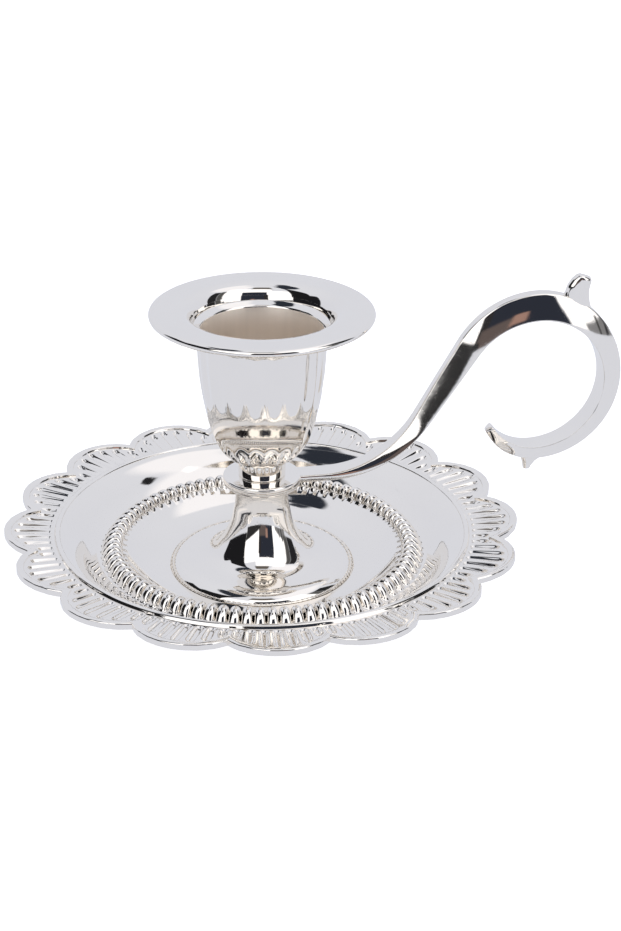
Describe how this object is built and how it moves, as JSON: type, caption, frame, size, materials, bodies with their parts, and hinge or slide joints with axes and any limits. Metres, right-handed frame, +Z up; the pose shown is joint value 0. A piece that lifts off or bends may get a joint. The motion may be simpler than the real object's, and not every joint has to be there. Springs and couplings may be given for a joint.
{
  "type": "chamberstick",
  "caption": "Chamberstick with a fluted candle cup on a short stem, a scalloped drip plate and an open finger loop with a thumb rest",
  "frame": {"origin": "on the stem's axis, in the plane of the foot ring that stands on the table", "axes": "+Z up along the stem and the candle socket, +X towards the handle's finger loop"},
  "size_m": [0.1199, 0.0996, 0.0585],
  "materials": {
    "plate_silver": "polished silver plate",
    "stem_silver": "polished silver plate",
    "handle_silver": "polished silver plate",
    "cup_silver": "polished silver plate outside, satin inside the socket",
    "flange_silver": "polished silver plate",
    "screw_steel": "plain zinc-plated steel"
  },
  "bodies": {
    "root": {"drip_plate": "plate_silver", "pedestal_stem": "stem_silver", "handle": "handle_silver", "candle_cup": "cup_silver", "cup_flange": "flange_silver", "tie_screw": "screw_steel", "tie_washer": "screw_steel"}
  },
  "joints": []
}
